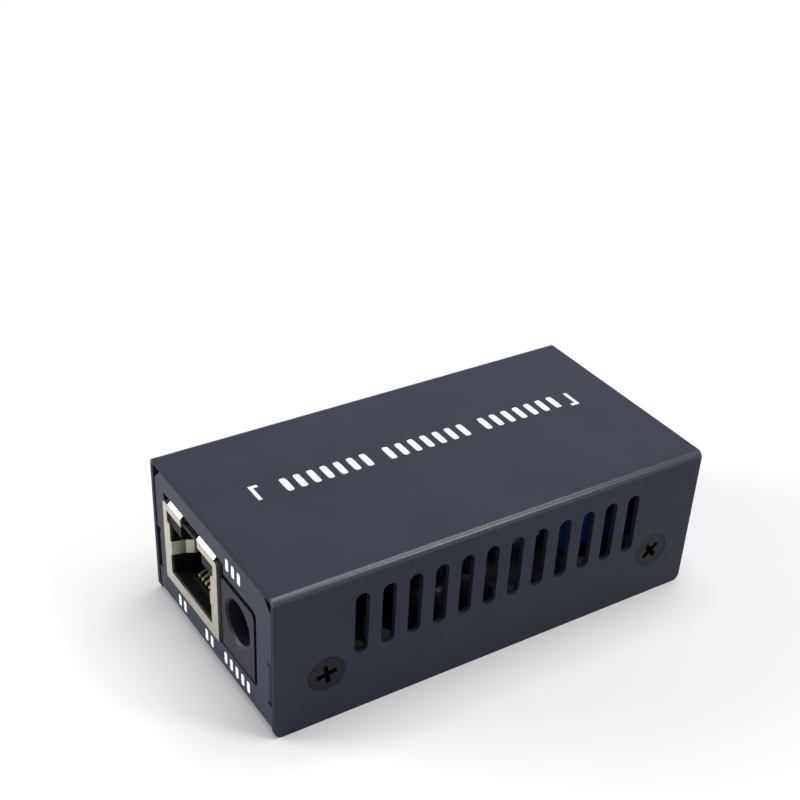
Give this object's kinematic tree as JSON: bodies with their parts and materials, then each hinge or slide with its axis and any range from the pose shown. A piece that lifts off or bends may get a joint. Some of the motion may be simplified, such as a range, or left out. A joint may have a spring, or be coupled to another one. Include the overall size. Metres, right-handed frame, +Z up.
{
  "type": "fibre media converter",
  "caption": "Small folded-steel fibre media converter: slotted screwed cover over a tray with network jack, barrel power jack and rear optical port.",
  "frame": {"origin": "middle of the case's underside, on the surface it stands on", "axes": "+Z up; +X to the right seen from the front; +Y from the jacks' panel towards the optical port's panel"},
  "size_m": [0.035, 0.0682, 0.0222],
  "materials": {
    "case_paint": "fine powder coat, dark blue-grey, satin",
    "screw_black": "black plated, satin",
    "zinc_steel": "zinc plated",
    "nickel": "nickel plated, bright",
    "solder_tin": "tinned",
    "gilt_contact": "gold plated",
    "block_metal": "machined",
    "can_aluminium": "bare can",
    "board_laminate": "green solder mask",
    "black_plastic": "moulded",
    "jack_plastic": "moulded, dark grey",
    "blue_plastic": "moulded, blue",
    "pale_plastic": "moulded, pale",
    "ferrite_grey": "ferrite",
    "sleeve_ceramic": "ground zirconia",
    "fuse_green": "coated",
    "light_lens": "clear lens on pale base",
    "chip_brown": "fired ceramic"
  },
  "bodies": {
    "root": {"base_tray": "case_paint", "board_posts": "nickel", "board_screws": "zinc_steel", "circuit_board": "board_laminate", "converter_chip": "black_plastic", "converter_chip_leads": "solder_tin", "cover_screws": "screw_black", "crystal": "nickel", "input_diode": "black_plastic", "input_fuse": "fuse_green", "jack_contact_comb": "black_plastic", "jack_contacts": "gilt_contact", "jack_housing": "black_plastic", "jack_shield": "nickel", "laser_driver_chip": "black_plastic", "line_transformer": "black_plastic", "line_transformer_leads": "solder_tin", "optical_block": "block_metal", "optical_leads": "gilt_contact", "port_clip": "nickel", "port_housing": "blue_plastic", "port_insert": "pale_plastic", "port_sleeve": "sleeve_ceramic", "power_inductor": "ferrite_grey", "power_jack_housing": "jack_plastic", "power_jack_pin": "nickel", "power_jack_side_blade": "nickel", "power_jack_spring": "nickel", "receiver_can": "gilt_contact", "small_parts": "chip_brown", "smoothing_capacitors": "can_aluminium", "status_lights": "light_lens", "top_cover": "case_paint", "transmitter_can": "gilt_contact", "voltage_regulator": "black_plastic"}
  },
  "joints": []
}
